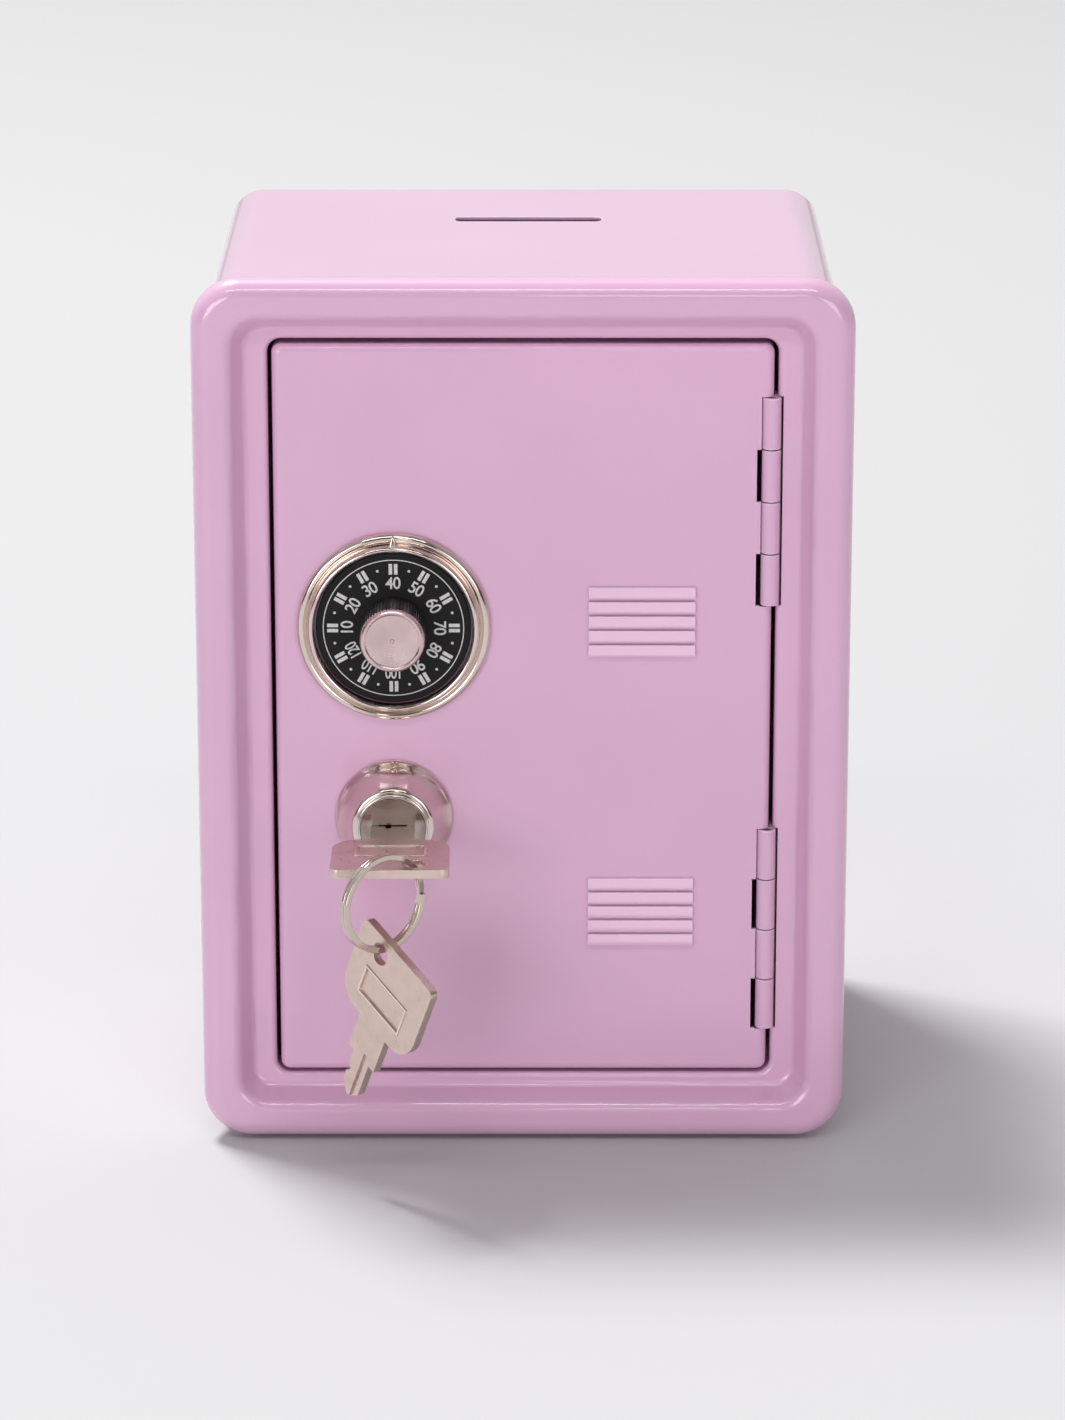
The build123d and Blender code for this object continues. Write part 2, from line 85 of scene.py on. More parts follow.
def area_light(name, place, aim, size, power):
    """Soft rectangular light at place, turned towards aim."""
    lamp = bpy.data.lights.new(name, "AREA")
    lamp.shape = "RECTANGLE"
    lamp.size, lamp.size_y = size
    lamp.energy = power
    holder = bpy.data.objects.new(name, lamp)
    bpy.context.collection.objects.link(holder)
    holder.location = place
    way = [a - p for a, p in zip(aim, place)]
    tilt = math.atan2(math.hypot(way[0], way[1]), -way[2])
    holder.rotation_euler = (tilt, 0, math.atan2(way[1], way[0]) - math.pi / 2)


settings = bpy.context.scene.view_settings
settings.view_transform = "Standard"
settings.look = "None"

world = bpy.data.worlds.new("studio air")
bpy.context.scene.world = world
world.use_nodes = True
air = world.node_tree
way = add_node(air, "ShaderNodeSeparateXYZ",
               links={0: add_node(air, "ShaderNodeTexCoord").outputs["Generated"]})
height = add_node(air, "ShaderNodeMapRange", {"From Min": -1.0}, {"Value": way.outputs["Z"]})
room = colour_steps(add_node(air, "ShaderNodeValToRGB", links={"Fac": height.outputs["Result"]}),
                    [(0.0, srgb("e8e8ea")), (0.47, srgb("c9c5c4")), (0.52, srgb("6f625d")),
                     (0.60, srgb("8b807c")), (0.72, srgb("e4e4e6")), (1.0, srgb("ffffff"))])
across = add_node(air, "ShaderNodeMapRange", {"From Min": -1.0}, {"Value": way.outputs["X"]})
flags = colour_steps(add_node(air, "ShaderNodeValToRGB", links={"Fac": across.outputs["Result"]}),
                     [(0.0, srgb("ffffff")), (0.36, srgb("ffffff")), (0.40, srgb("4c4442")),
                      (0.47, srgb("4c4442")), (0.50, srgb("ffffff")), (0.56, srgb("ffffff")),
                      (0.60, srgb("6a5d58")), (0.70, srgb("8a807c")), (0.78, srgb("ffffff"))])
front = add_node(air, "ShaderNodeMix", {"data_type": "RGBA", "blend_type": "MULTIPLY", 0: 0.75},
                 {6: room.outputs["Color"], 7: flags.outputs["Color"]})
behind = add_node(air, "ShaderNodeMapRange", {"From Min": -0.1, "From Max": 0.25},
                  {"Value": way.outputs["Y"]})
whole = add_node(air, "ShaderNodeMix", {"data_type": "RGBA", 7: [1.45, 1.45, 1.46, 1.0]},
                 {0: behind.outputs["Result"], 6: front.outputs[2]})
air.links.new(whole.outputs[2], air.nodes["Background"].inputs["Color"])
air.nodes["Background"].inputs["Strength"].default_value = 0.46

safe_middle = (0.0, 0.0, 0.09)
area_light("key", (-0.85, 0.88, 2.90), safe_middle, (0.75, 0.75), 88.0)
area_light("edge strip", (-0.04, -1.35, 1.75), safe_middle, (1.6, 0.20), 8.0)
area_light("louvre strip", (0.13, -3.90, 1.12), safe_middle, (0.26, 0.80), 2.4)
area_light("left fill", (-1.75, -3.45, 0.65), safe_middle, (2.0, 1.2), 40.0)
area_light("right fill", (1.70, -3.50, 0.65), safe_middle, (1.6, 1.2), 22.0)

bpy.ops.mesh.primitive_plane_add(size=12)
floor = bpy.context.object
floor.name = "floor"
paper = bpy.data.materials.new("matte paper sweep")
paper.use_nodes = True
grain = add_node(paper.node_tree, "ShaderNodeTexNoise", {"Scale": 900.0})
rise = add_node(paper.node_tree, "ShaderNodeBump", {"Strength": 0.15, "Distance": 0.0001},
                {"Height": grain.outputs[0]})
sheet = paper.node_tree.nodes["Principled BSDF"]
sheet.inputs["Base Color"].default_value = srgb("c7c7c8")
sheet.inputs["Roughness"].default_value = 0.9
paper.node_tree.links.new(rise.outputs["Normal"], sheet.inputs["Normal"])
floor.data.materials.append(paper)

lens = bpy.data.cameras.new("camera")
lens.lens = 135.3
lens.clip_start = 0.01
camera = bpy.data.objects.new("camera", lens)
bpy.context.collection.objects.link(camera)
camera.location = (0.0030, -1.0256, 0.3836)
camera.rotation_euler = (math.radians(90 - 16.83), 0, math.radians(0.07))
bpy.context.scene.camera = camera

# ---- Case ------------------------------------------------------------------------------------
# Front frame, wrap and back panel of 0.8 mm steel, spot welded and stove enamelled in one colour.
# Enamel flows off sharp edges, so every edge is softened; the rounded edges are painted a lighter
# enamel as a highlight.

ENAMEL = "dbadcd"
# The edge colour is lighter: a painted highlight along rounded edges.
ENAMEL_EDGE_HIGHLIGHT = "e6c4de"
ORANGE_PEEL_MM = 2.2
DUST_SPACING_MM = 11.0
EDGE_ROUND_MM = 0.22
CORNER_DEGREES = 38              # edges that turn by more than this are rounded
MERGE_M = 1e-6                   # vertices nearer than this are one


def new_material(name):
    """Empty node material and its Principled shader."""
    material = bpy.data.materials.new(name)
    material.use_nodes = True
    return material, material.node_tree, material.node_tree.nodes["Principled BSDF"]


def stove_enamel(name, colour, low_gloss, high_gloss):
    """Sprayed and baked enamel: even colour, orange peel, a few dust nibs under the gloss."""
    material, tree, shader = new_material(name)
    place = add_node(tree, "ShaderNodeTexCoord").outputs["Object"]
    cloud = add_node(tree, "ShaderNodeTexNoise", {"Scale": 22.0, "Detail": 3.0}, {"Vector": place})
    deep = [c * 0.955 for c in srgb(colour)[:3]] + [1.0]
    tint = colour_steps(add_node(tree, "ShaderNodeValToRGB", links={"Fac": cloud.outputs[0]}),
                        [(0.35, deep), (0.65, srgb(colour))])
    tree.links.new(tint.outputs["Color"], shader.inputs["Base Color"])
    gloss = add_node(tree, "ShaderNodeMapRange", {"To Min": low_gloss, "To Max": high_gloss},
                     {"Value": cloud.outputs[0]})
    tree.links.new(gloss.outputs["Result"], shader.inputs["Roughness"])
    shader.inputs["IOR"].default_value = 1.5
    shader.inputs["Coat Weight"].default_value = 1.0
    shader.inputs["Coat Roughness"].default_value = 0.06
    peel = add_node(tree, "ShaderNodeTexNoise", {"Scale": 1000 / ORANGE_PEEL_MM, "Detail": 1.5},
                    {"Vector": place})
    nibs = add_node(tree, "ShaderNodeTexVoronoi", {"Scale": 1000 / DUST_SPACING_MM},
                    {"Vector": place})
    dots = add_node(tree, "ShaderNodeMapRange",
                    {"From Min": 0.0, "From Max": 0.03, "To Min": 1.0, "To Max": 0.0},
                    {"Value": nibs.outputs["Distance"]})
    soft = add_node(tree, "ShaderNodeBump", {"Strength": 0.35, "Distance": 0.00002},
                    {"Height": peel.outputs[0]})
    speck = add_node(tree, "ShaderNodeBump", {"Strength": 0.5, "Distance": 0.00005},
                     {"Height": dots.outputs["Result"], "Normal": soft.outputs["Normal"]})
    tree.links.new(speck.outputs["Normal"], shader.inputs["Normal"])
    return material


enamel = stove_enamel("stove enamel on steel sheet", ENAMEL, 0.30, 0.38)
# Lighter copy of the enamel for rounded edges: a painted highlight.
enamel_edge_highlight = stove_enamel("stove enamel painted lighter on edges as a highlight", ENAMEL_EDGE_HIGHLIGHT, 0.26, 0.34)


def pick_only(piece):
    """Leaves just this piece selected and active."""
    bpy.ops.object.select_all(action="DESELECT")
    piece.select_set(True)
    bpy.context.view_layer.objects.active = piece


def place_mesh(piece):
    """Puts a piece's place and turn into its mesh."""
    pick_only(piece)
    bpy.ops.object.transform_apply(location=True, rotation=True, scale=True)


def fit_out(piece, name, body, slot, *nodes):
    """Names a finished piece, mounts it on its body and lets it stand for its CAD nodes."""
    piece.name = name
    piece.data.name = name
    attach(piece, body)
    if nodes:
        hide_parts(*nodes)


def body_with(node):
    """Name of the moving body that a CAD node belongs to."""
    return next(b for b, nodes in frame["record"]["behaviour"]["bodies"].items() if node in nodes)


def slot_with(node):
    """Material slot of a CAD node in the record."""
    return next(s["material_slot"] for s in frame["record"]["subparts"] if s["node"] == node)


def select_corners(piece, least_degrees):
    """Selects the outward edges that turn by more than this, in edit mode."""
    form = bmesh.from_edit_mesh(piece.data)
    for edge in form.edges:
        turn = edge.calc_face_angle(0.0) if len(edge.link_faces) == 2 else 0.0
        edge.select = edge.is_convex and turn > math.radians(least_degrees)
    bmesh.update_edit_mesh(piece.data)


def soften(node, skin, edge, round_mm=EDGE_ROUND_MM):
    """Copies a CAD node, rounds its outward corners and gives them the edge material, mostly a
    lighter copy: a painted highlight.
    """
    source = frame["nodes"][node]
    piece = source.copy()
    piece.data = source.data.copy()
    bpy.context.collection.objects.link(piece)
    pick_only(piece)
    piece.data.materials.clear()
    piece.data.materials.append(skin)
    piece.data.materials.append(edge)
    if piece.data.has_custom_normals:
        bpy.ops.mesh.customdata_custom_splitnormals_clear()
    bpy.ops.object.mode_set(mode="EDIT")
    bpy.ops.mesh.select_mode(type="EDGE")
    bpy.ops.mesh.select_all(action="SELECT")
    bpy.ops.mesh.remove_doubles(threshold=MERGE_M)
    bpy.ops.mesh.dissolve_limited(angle_limit=math.radians(0.3))
    bpy.ops.mesh.select_all(action="DESELECT")
    select_corners(piece, CORNER_DEGREES)
    bpy.ops.mesh.bevel(offset=round_mm / 1000, segments=3, affect="EDGES", material=1,
                       clamp_overlap=True)
    bpy.ops.object.mode_set(mode="OBJECT")
    finish_faces(piece)
    fit_out(piece, node + "_rounded", body_with(node), slot_with(node), node)
    return piece


def finish_faces(piece, degrees=35):
    """Smooth shading up to an angle, led by the larger faces as on a real flat."""
    pick_only(piece)
    bpy.ops.object.shade_smooth_by_angle(angle=math.radians(degrees))
    even = piece.modifiers.new("even flats", "WEIGHTED_NORMAL")
    even.keep_sharp = True
    bpy.ops.object.modifier_apply(modifier=even.name)


# Their rounded edges get the lighter enamel, a painted highlight.
for node in ("front_frame", "body_wrap", "back_panel"):
    soften(node, enamel, enamel_edge_highlight)

# ---- Feet ------------------------------------------------------------------------------------
# Four moulded rubber bumpers, stuck under the wrap. Rubber is dull and near black, with the fine
# bloom and grain of its mould; its rounded edges are painted greyer as a highlight.

RUBBER = "262628"
RUBBER_EDGE_HIGHLIGHT = "4a4a4c"
RUBBER_GRAIN_MM = 0.5
FOOT_ROUND_MM = 0.4


def moulded_rubber(name, colour):
    """Dull rubber: mould grain as bump, uneven bloom in colour and gloss."""
    material, tree, shader = new_material(name)
    place = add_node(tree, "ShaderNodeTexCoord").outputs["Object"]
    grain = add_node(tree, "ShaderNodeTexNoise", {"Scale": 1000 / RUBBER_GRAIN_MM, "Detail": 4.0},
                     {"Vector": place})
    bloom = add_node(tree, "ShaderNodeTexNoise", {"Scale": 180.0}, {"Vector": place})
    pale = [min(1.0, c * 1.5) for c in srgb(colour)[:3]] + [1.0]
    tint = colour_steps(add_node(tree, "ShaderNodeValToRGB", links={"Fac": bloom.outputs[0]}),
                        [(0.3, srgb(colour)), (0.8, pale)])
    tree.links.new(tint.outputs["Color"], shader.inputs["Base Color"])
    gloss = add_node(tree, "ShaderNodeMapRange", {"To Min": 0.66, "To Max": 0.85},
                     {"Value": bloom.outputs[0]})
    tree.links.new(gloss.outputs["Result"], shader.inputs["Roughness"])
    rise = add_node(tree, "ShaderNodeBump", {"Strength": 0.5, "Distance": 0.00005},
                    {"Height": grain.outputs[0]})
    tree.links.new(rise.outputs["Normal"], shader.inputs["Normal"])
    return material


rubber = moulded_rubber("moulded rubber", RUBBER)
# Greyer copy for the rounded edges: a painted highlight.
rubber_edge_highlight = moulded_rubber("moulded rubber painted lighter on edges as a highlight", RUBBER_EDGE_HIGHLIGHT)
for row in ("front", "rear"):
    for side in ("left", "right"):
        soften(f"foot_{row}_{side}", rubber, rubber_edge_highlight, round_mm=FOOT_ROUND_MM)

# ---- Door ------------------------------------------------------------------------------------
# One pressed pan of the same sheet with folded edges. Ten louvres are lanced and pushed out of
# it, and it is enamelled with the case; the fold and the louvre lips are painted lighter as a
# highlight.

LIP_ROUND_MM = 0.14

soften("door_panel", enamel, enamel_edge_highlight, LIP_ROUND_MM)

# ---- Hinges ----------------------------------------------------------------------------------
# Two butt hinges rolled from strip, welded behind the door and to the jamb and enamelled in
# place. Each turns on a drawn steel pin, left bright and a little oily in its bore.

PIN_STEEL = "b9b6b3"
ROLLED_ROUND_MM = 0.3


def bare_metal(name, colour, low_gloss, high_gloss, stain_mm, mark_mm, mark_depth,
               mark_way=(1.0, 1.0, 1.0), centre=None):
    """Metal with uneven gloss and fine marks: scratches along mark_way, or turned rings."""
    material, tree, shader = new_material(name)
    shader.inputs["Metallic"].default_value = 1.0
    place = add_node(tree, "ShaderNodeTexCoord").outputs["Object"]
    stain = add_node(tree, "ShaderNodeTexNoise", {"Scale": 1000 / stain_mm, "Detail": 4.0},
                     {"Vector": place})
    dull = [c * 0.88 for c in srgb(colour)[:3]] + [1.0]
    tint = colour_steps(add_node(tree, "ShaderNodeValToRGB", links={"Fac": stain.outputs[0]}),
                        [(0.3, dull), (0.6, srgb(colour))])
    tree.links.new(tint.outputs["Color"], shader.inputs["Base Color"])
    gloss = add_node(tree, "ShaderNodeMapRange", {"From Min": 0.3, "From Max": 0.7,
                                                  "To Min": low_gloss, "To Max": high_gloss},
                     {"Value": stain.outputs[0]})
    tree.links.new(gloss.outputs["Result"], shader.inputs["Roughness"])
    if centre:
        centred = add_node(tree, "ShaderNodeMapping", {"Location": [-c for c in centre]},
                           {"Vector": place})
        marks = add_node(tree, "ShaderNodeTexWave",
                         {"wave_type": "RINGS", "rings_direction": "Y",
                          "Scale": 314.0 / mark_mm, "Distortion": 0.6},
                         {"Vector": centred.outputs["Vector"]})
    else:
        drawn = add_node(tree, "ShaderNodeMapping", {"Scale": mark_way}, {"Vector": place})
        marks = add_node(tree, "ShaderNodeTexNoise", {"Scale": 1000 / mark_mm, "Detail": 3.0},
                         {"Vector": drawn.outputs["Vector"]})
    rise = add_node(tree, "ShaderNodeBump", {"Strength": mark_depth, "Distance": 0.00002},
                    {"Height": marks.outputs[0]})
    tree.links.new(rise.outputs["Normal"], shader.inputs["Normal"])
    return material


# Fine lines along the rod, from the die it was drawn through.
drawn_steel = bare_metal("drawn steel rod", PIN_STEEL, 0.22, 0.4, 4.0, 0.3, 0.4, (1, 1, 0.06))
for level in ("upper", "lower"):
    for leaf in ("door", "frame"):
        # Rounded leaf edges get the lighter enamel, a painted highlight.
        soften(f"{level}_hinge_{leaf}_leaf", enamel, enamel_edge_highlight, ROLLED_ROUND_MM)
    soften(f"{level}_hinge_pin", drawn_steel, drawn_steel, ROLLED_ROUND_MM)

# ---- Dial bezel ------------------------------------------------------------------------------
# A brass pressing spun to a rolled outer bead and a stepped inner ring, polished and chromed.
# A raised index stands over the numbers at the top. Its fixing behind the door isn't modelled.

CHROME = "e2d3cb"
BEZEL_STEPS_MM = 144
BEZEL = [(15.1, 0.0), (18.1, 0.0), (18.4, 0.15), (18.5, 0.45), (18.45, 0.95), (18.2, 1.4),
         (17.8, 1.68), (17.4, 1.7), (17.05, 1.5), (16.85, 1.2), (16.75, 1.15), (16.6, 1.35),
         (16.5, 2.0), (16.35, 2.6), (16.05, 2.98), (15.75, 3.1), (15.45, 3.02), (15.2, 2.75),
         (15.1, 2.3), (15.1, 0.0)]
INDEX_MM = (1.7, 1.5, 2.5)
INDEX_RADIUS_MM = 16.9
INDEX_PROUD_MM = 2.1             # its middle, in front of the door
INDEX_TAPER = (0.3, 0.6, 1.0)    # its top end against its foot
INDEX_ROUND_MM = 0.25

# A clear, warm-toned mirror with hardly a mark on it.
chrome = bare_metal("polished chrome plate", CHROME, 0.05, 0.10, 9.0, 2.4, 0.02)


def turn_piece(centre, outline, steps):
    """Turns an outline of (radius, height) in mm about the line out of the door at centre."""
    x, y, z = centre
    bpy.ops.object.select_all(action="DESELECT")
    bpy.ops.mesh.primitive_plane_add(
        size=0.0001, location=(x + outline[0][0] / 1000, y - outline[0][1] / 1000, z))
    piece = bpy.context.object
    bpy.ops.object.mode_set(mode="EDIT")
    bpy.ops.mesh.select_mode(type="VERT")
    bpy.ops.mesh.merge(type="CENTER")
    for (radius, height), (next_radius, next_height) in zip(outline, outline[1:]):
        move = ((next_radius - radius) / 1000, (height - next_height) / 1000, 0)
        bpy.ops.mesh.extrude_region_move(TRANSFORM_OT_translate={"value": move})
    bpy.ops.mesh.select_all(action="SELECT")
    bpy.ops.mesh.spin(steps=steps, angle=2 * math.pi, center=centre, axis=(0, 1, 0))
    bpy.ops.mesh.select_all(action="SELECT")
    bpy.ops.mesh.remove_doubles(threshold=MERGE_M)
    bpy.ops.mesh.normals_make_consistent(inside=False)
    bpy.ops.object.mode_set(mode="OBJECT")
    place_mesh(piece)
    return piece


def middle_of(node):
    """Middle of a CAD node's box."""
    low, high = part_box(node)
    return [(a + b) / 2 for a, b in zip(low, high)]


def block(place, size_mm):
    """Block primitive of a given size, centred on place."""
    bpy.ops.object.select_all(action="DESELECT")
    bpy.ops.mesh.primitive_cube_add(size=1, location=place)
    piece = bpy.context.object
    piece.scale = [s / 1000 for s in size_mm]
    place_mesh(piece)
    return piece


def join(main, *others):
    """Joins pieces into the first, keeping each one's materials."""
    pick_only(main)
    for other in others:
        other.select_set(True)
    bpy.ops.object.join()


door_face = middle_of("dial_bezel")[0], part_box("dial_bezel")[1][1], middle_of("dial_bezel")[2]
bezel = turn_piece(door_face, BEZEL, BEZEL_STEPS_MM)
bezel.data.materials.append(chrome)
index = block((door_face[0], door_face[1] - INDEX_PROUD_MM / 1000,
               door_face[2] + INDEX_RADIUS_MM / 1000), INDEX_MM)
index.data.materials.append(chrome)
bpy.ops.object.mode_set(mode="EDIT")
bpy.ops.mesh.select_mode(type="FACE")
form = bmesh.from_edit_mesh(index.data)
for face in form.faces:
    face.select = face.normal.z > 0.9
bmesh.update_edit_mesh(index.data)
bpy.ops.transform.resize(value=INDEX_TAPER)
bpy.ops.mesh.select_all(action="SELECT")
bpy.ops.mesh.bevel(offset=INDEX_ROUND_MM / 1000, segments=3, affect="EDGES")
bpy.ops.object.mode_set(mode="OBJECT")
join(bezel, index)
finish_faces(bezel, 40)
fit_out(bezel, "dial_bezel_turned", "door", "chrome_plate", "dial_bezel")

# ---- Dial disc -------------------------------------------------------------------------------
# A turned steel disc, sprayed satin black and screen printed in white: one ring, twelve double
# bars with a dot between each two, and the numbers in tens. It turns with the knob.

DISC_BLACK = "0c0b0c"
PRINT_WHITE = "d9d6d8"
DISC = [(2.0, 0.0), (14.55, 0.0), (14.8, 0.2), (14.8, 1.0), (14.7, 1.15), (14.55, 1.2),
        (2.0, 1.2), (2.0, 0.0)]
DISC_STEPS = 120
PRINT_MM = 0.03                  # ink standing on the paint
RING_LINE = (13.3, 13.48)
BAR_MM = (0.68, 2.1)
BAR_APART_MM = 1.02
BAR_RADIUS_MM = 11.6
DOT_RADIUS_MM = 0.26
NUMBER_RADIUS_MM = 8.75
NUMBER_SIZE_MM = 3.3
NUMBER_WEIGHT_MM = 0.04          # strokes made heavier by this on each side
NUMBERS = (40, 50, 60, 70, 80, 90, 100, 110, 120, 10, 20, 30)

# Nearly no shine, so that the white figures read from any side.
black_paint, tree, shader = new_material("satin black paint on a steel disc")
place = add_node(tree, "ShaderNodeTexCoord").outputs["Object"]
spray = add_node(tree, "ShaderNodeTexNoise", {"Scale": 1800.0, "Detail": 2.0}, {"Vector": place})
haze = add_node(tree, "ShaderNodeTexNoise", {"Scale": 160.0}, {"Vector": place})
tint = colour_steps(add_node(tree, "ShaderNodeValToRGB", links={"Fac": haze.outputs[0]}),
                    [(0.3, srgb(DISC_BLACK)), (0.8, srgb("131113"))])
tree.links.new(tint.outputs["Color"], shader.inputs["Base Color"])
gloss = add_node(tree, "ShaderNodeMapRange", {"To Min": 0.36, "To Max": 0.5},
                 {"Value": haze.outputs[0]})
tree.links.new(gloss.outputs["Result"], shader.inputs["Roughness"])
shader.inputs["Specular IOR Level"].default_value = 0.22
rise = add_node(tree, "ShaderNodeBump", {"Strength": 0.25, "Distance": 0.00002},
                {"Height": spray.outputs[0]})
tree.links.new(rise.outputs["Normal"], shader.inputs["Normal"])

# Flat and chalky, uneven at the pitch of the screen.
white_ink, tree, shader = new_material("screen printed white ink")
place = add_node(tree, "ShaderNodeTexCoord").outputs["Object"]
weave = add_node(tree, "ShaderNodeTexNoise", {"Scale": 3000.0, "Detail": 1.0}, {"Vector": place})
tint = colour_steps(add_node(tree, "ShaderNodeValToRGB", links={"Fac": weave.outputs[0]}),
                    [(0.3, srgb("b5b2b5")), (0.6, srgb(PRINT_WHITE))])
tree.links.new(tint.outputs["Color"], shader.inputs["Base Color"])
shader.inputs["Roughness"].default_value = 0.55

dial_middle = middle_of("dial_disc")
dial_back = (dial_middle[0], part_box("dial_disc")[1][1], dial_middle[2])
dial_front = (dial_middle[0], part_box("dial_disc")[0][1], dial_middle[2])
disc = turn_piece(dial_back, DISC, DISC_STEPS)
disc.data.materials.append(black_paint)
prints = [turn_piece(dial_front, [(RING_LINE[0], 0), (RING_LINE[1], 0), (RING_LINE[1], PRINT_MM),
                                  (RING_LINE[0], PRINT_MM), (RING_LINE[0], 0)],
                     DISC_STEPS)]


def round_the_dial(piece, count):
    """Copies a mark round the dial, as the screen's artwork does."""
    pick_only(piece)
    bpy.ops.object.mode_set(mode="EDIT")
    bpy.ops.mesh.select_all(action="SELECT")
    bpy.ops.mesh.spin(steps=count - 1, angle=2 * math.pi * (count - 1) / count, dupli=True,
                      center=dial_front, axis=(0, 1, 0))
    bpy.ops.object.mode_set(mode="OBJECT")
    return piece


ink_y = dial_front[1] - PRINT_MM / 2000
pair = [block((dial_front[0] + side * BAR_APART_MM / 2000, ink_y,
               dial_front[2] + BAR_RADIUS_MM / 1000), (BAR_MM[0], PRINT_MM, BAR_MM[1]))
        for side in (-1, 1)]
join(*pair)
prints.append(round_the_dial(pair[0], len(NUMBERS)))
half_step = math.pi / len(NUMBERS)
bpy.ops.object.select_all(action="DESELECT")
bpy.ops.mesh.primitive_cylinder_add(
    vertices=16, radius=DOT_RADIUS_MM / 1000, depth=PRINT_MM / 1000,
    rotation=(math.pi / 2, 0, 0),
    location=(dial_front[0] + BAR_RADIUS_MM / 1000 * math.sin(half_step), ink_y,
              dial_front[2] + BAR_RADIUS_MM / 1000 * math.cos(half_step)))
dot = bpy.context.object
place_mesh(dot)
prints.append(round_the_dial(dot, len(NUMBERS)))
for step, number in enumerate(NUMBERS):
    turn = 2 * math.pi * step / len(NUMBERS)
    bpy.ops.object.text_add(
        location=(dial_front[0] + NUMBER_RADIUS_MM / 1000 * math.sin(turn), ink_y,
                  dial_front[2] + NUMBER_RADIUS_MM / 1000 * math.cos(turn)),
        rotation=(math.pi / 2, turn, 0))
    figure = bpy.context.object
    figure.data.body = str(number)
    figure.data.size = NUMBER_SIZE_MM / 1000
    figure.data.space_character = 0.92
    figure.scale.x = 0.72 if number > 99 else 0.92
    figure.data.offset = NUMBER_WEIGHT_MM / 1000
    figure.data.extrude = PRINT_MM / 2000
    figure.data.align_x = "CENTER"
    figure.data.align_y = "CENTER"
    pick_only(figure)
    bpy.ops.object.convert(target="MESH")
    place_mesh(figure)
    prints.append(figure)
for printed in prints:
    printed.data.materials.clear()
    printed.data.materials.append(white_ink)
join(disc, *prints)
finish_faces(disc, 30)
fit_out(disc, "dial_disc_printed", "dial", "dial_black", "dial_disc")

# ---- Dial knob -------------------------------------------------------------------------------
# An aluminium knob turned from bar: a finely ribbed grip, a bright chamfered rim and a shallow
# dished end with the tool's rings and the little nib it leaves. It is pressed on the shaft.

ALUMINIUM = "dcc3c4"
KNOB_STEPS = 120
RIB_MM = 0.22
RIB_GAP_MM = 0.05
RIBS_FROM_DISC_MM = (3.0, 6.5)   # faces of the grip have their middle between these
KNOB = [(0.0, 6.0), (2.0, 6.0), (2.0, 0.0), (5.5, 0.0), (5.8, 0.15), (5.95, 0.5), (5.95, 8.5),
        (6.1, 8.7), (6.15, 8.95), (5.95, 9.4), (5.7, 9.58), (5.45, 9.6), (5.25, 9.5),
        (5.05, 9.3), (4.0, 9.22), (2.6, 9.14), (1.0, 9.1), (0.45, 9.1), (0.3, 9.22),
        (0.0, 9.26)]
TOOL_RINGS_MM = 0.55

# Satin, with fine rings round the middle from the tool.
turned_aluminium = bare_metal("aluminium turned from bar", ALUMINIUM, 0.2, 0.32, 5.0,
                              TOOL_RINGS_MM, 0.35, centre=dial_middle)
# Duller, and painted darker as shade between the ribs.
grip_aluminium_painted_shade = bare_metal("aluminium ribbed grip darkened as painted shade", "8f888b", 0.3, 0.42, 3.0, 0.4, 0.3)
knob = turn_piece(dial_front, KNOB, KNOB_STEPS)
knob.data.materials.append(turned_aluminium)
knob.data.materials.append(grip_aluminium_painted_shade)
pick_only(knob)
bpy.ops.object.mode_set(mode="EDIT")
bpy.ops.mesh.select_mode(type="FACE")
bpy.ops.mesh.select_all(action="DESELECT")
form = bmesh.from_edit_mesh(knob.data)
for face in form.faces:
    middle = face.calc_center_median()
    depth = (dial_front[1] - middle.y) * 1000
    on_grip = RIBS_FROM_DISC_MM[0] < depth < RIBS_FROM_DISC_MM[1]
    if on_grip and abs(face.normal.y) < 0.2 and face.calc_area() > 1e-6:
        # Grip faces take the darker aluminium: painted shade between the ribs.
        face.material_index = 1
        turn = math.atan2(middle.z - dial_front[2], middle.x - dial_front[0])
        face.select = int(turn / (2 * math.pi) * KNOB_STEPS + KNOB_STEPS) % 2 == 0
bmesh.update_edit_mesh(knob.data)
bpy.ops.mesh.inset(thickness=RIB_GAP_MM / 1000, depth=RIB_MM / 1000, use_individual=True)
bpy.ops.object.mode_set(mode="OBJECT")
finish_faces(knob, 30)
fit_out(knob, "dial_knob_turned", "dial", "dial_aluminium", "dial_knob")

# ---- Dial shaft, washer and nut --------------------------------------------------------------
# Behind the door a bright zinc spring washer and a hexagon nut hold the dial's steel shaft.

ZINC = "c4c6c4"

# Cool grey and slightly cloudy; its rounded edges are glossier and painted lighter as a highlight.
bright_zinc = bare_metal("bright zinc plate on steel", ZINC, 0.24, 0.42, 3.5, 0.8, 0.35)
zinc_edge_highlight = bare_metal("zinc plate painted lighter on edges as a highlight", "d6d6d4", 0.18, 0.28, 3.5, 0.8, 0.2)
soften("dial_shaft", drawn_steel, drawn_steel, 0.25)
soften("dial_spring_washer", bright_zinc, zinc_edge_highlight, 0.1)
soften("dial_nut", bright_zinc, zinc_edge_highlight, 0.25)

# ---- Lock ------------------------------------------------------------------------------------
# A cam lock in a cone of spun brass, polished and chromed. The zinc housing and its plug are
# nickel plated, and a hexagon nut behind the door pulls the head down on the cone.

NICKEL = "b9b0aa"
CONE = [(6.65, 0.0), (11.15, 0.0), (11.38, 0.12), (11.4, 0.35), (11.25, 0.75), (10.85, 1.2),
        (10.2, 2.0), (9.6, 2.95), (9.1, 4.0), (8.7, 5.0), (8.35, 6.0), (8.05, 6.9),
        (7.85, 7.45), (7.6, 7.72), (7.3, 7.8), (6.65, 7.8), (6.65, 0.0)]
CONE_STEPS = 128

